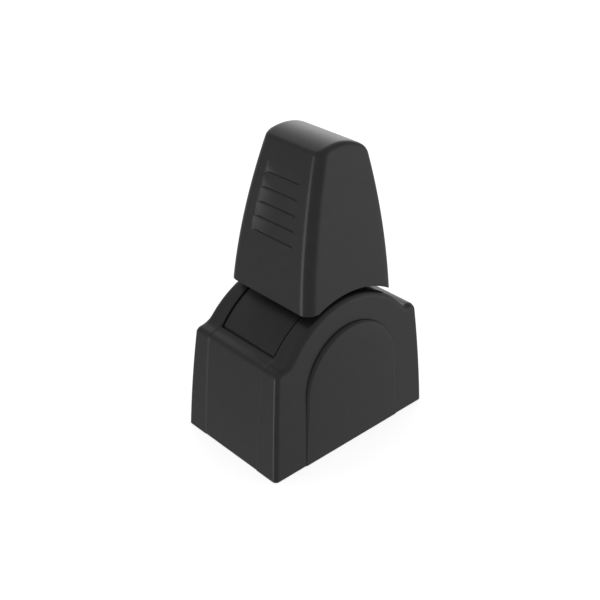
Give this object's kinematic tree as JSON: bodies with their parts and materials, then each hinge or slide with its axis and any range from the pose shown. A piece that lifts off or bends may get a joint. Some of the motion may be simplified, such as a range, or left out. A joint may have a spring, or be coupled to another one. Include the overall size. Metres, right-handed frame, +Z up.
{
  "type": "lever controller",
  "caption": "Desk lever controller: domed base with a curved shutter closing its slot, and a tapered grip with finger grooves that rocks fore and aft.",
  "frame": {"origin": "on the table, under the middle of the base", "axes": "+Z up; -Y is the front, where the finger grooves are; +X to the right along the cross shaft, seen from the front"},
  "size_m": [0.0728, 0.111, 0.165],
  "materials": {
    "base_shell": "satin moulded, charcoal",
    "grip_shell": "satin moulded, charcoal",
    "shutter": "fine textured, charcoal",
    "inner_plastic": "natural acetal",
    "cast_frame": "die cast",
    "steel": "zinc plated",
    "brass": "turned",
    "rubber": "moulded",
    "felt": "pressed wool felt",
    "board": "solder mask"
  },
  "bodies": {
    "base": {"housing": "base_shell", "side_cover_left": "base_shell", "side_cover_right": "base_shell", "cover_clips": "steel", "base_plate": "base_shell", "base_screws": "steel", "feet": "rubber", "mount_inserts": "brass", "side_frame_left": "cast_frame", "side_frame_right": "cast_frame", "chassis_screws": "steel", "bearing_left": "brass", "bearing_right": "brass", "stop_bracket": "cast_frame", "stop_buffers": "rubber", "circuit_board": "board", "board_screws": "steel", "signal_socket": "steel", "sensor_body": "inner_plastic", "sensor_nut": "brass", "friction_pad": "felt", "pressure_plate": "steel", "disc_springs": "steel", "guide_pins": "steel"},
    "lever": {"pivot_shaft": "steel", "retaining_rings": "steel", "yoke": "cast_frame", "hub_screw": "steel", "shutter": "shutter", "shutter_screws": "steel", "drive_gear": "inner_plastic", "friction_disc": "steel", "grip_core": "cast_frame", "core_screws": "steel", "grip_front": "grip_shell", "grip_rear": "grip_shell", "grip_screws": "steel"},
    "sensor_rotor": {"sensor_shaft": "steel", "sensor_gear": "inner_plastic"}
  },
  "joints": [
    {"name": "lever_swing", "type": "hinge", "parent": "base", "child": "lever", "pos_m": [0, 0.0005, 0.034], "axis": [1, 0, 0], "range_deg": [-16, 16]},
    {"name": "sensor_turn", "type": "hinge", "parent": "base", "child": "sensor_rotor", "pos_m": [0, 0.02374, 0.028], "axis": [1, 0, 0], "range_deg": [-50, 50]}
  ],
  "couplings": [
    {"joint": "sensor_turn", "follows": "lever_swing", "ratio": -3}
  ]
}
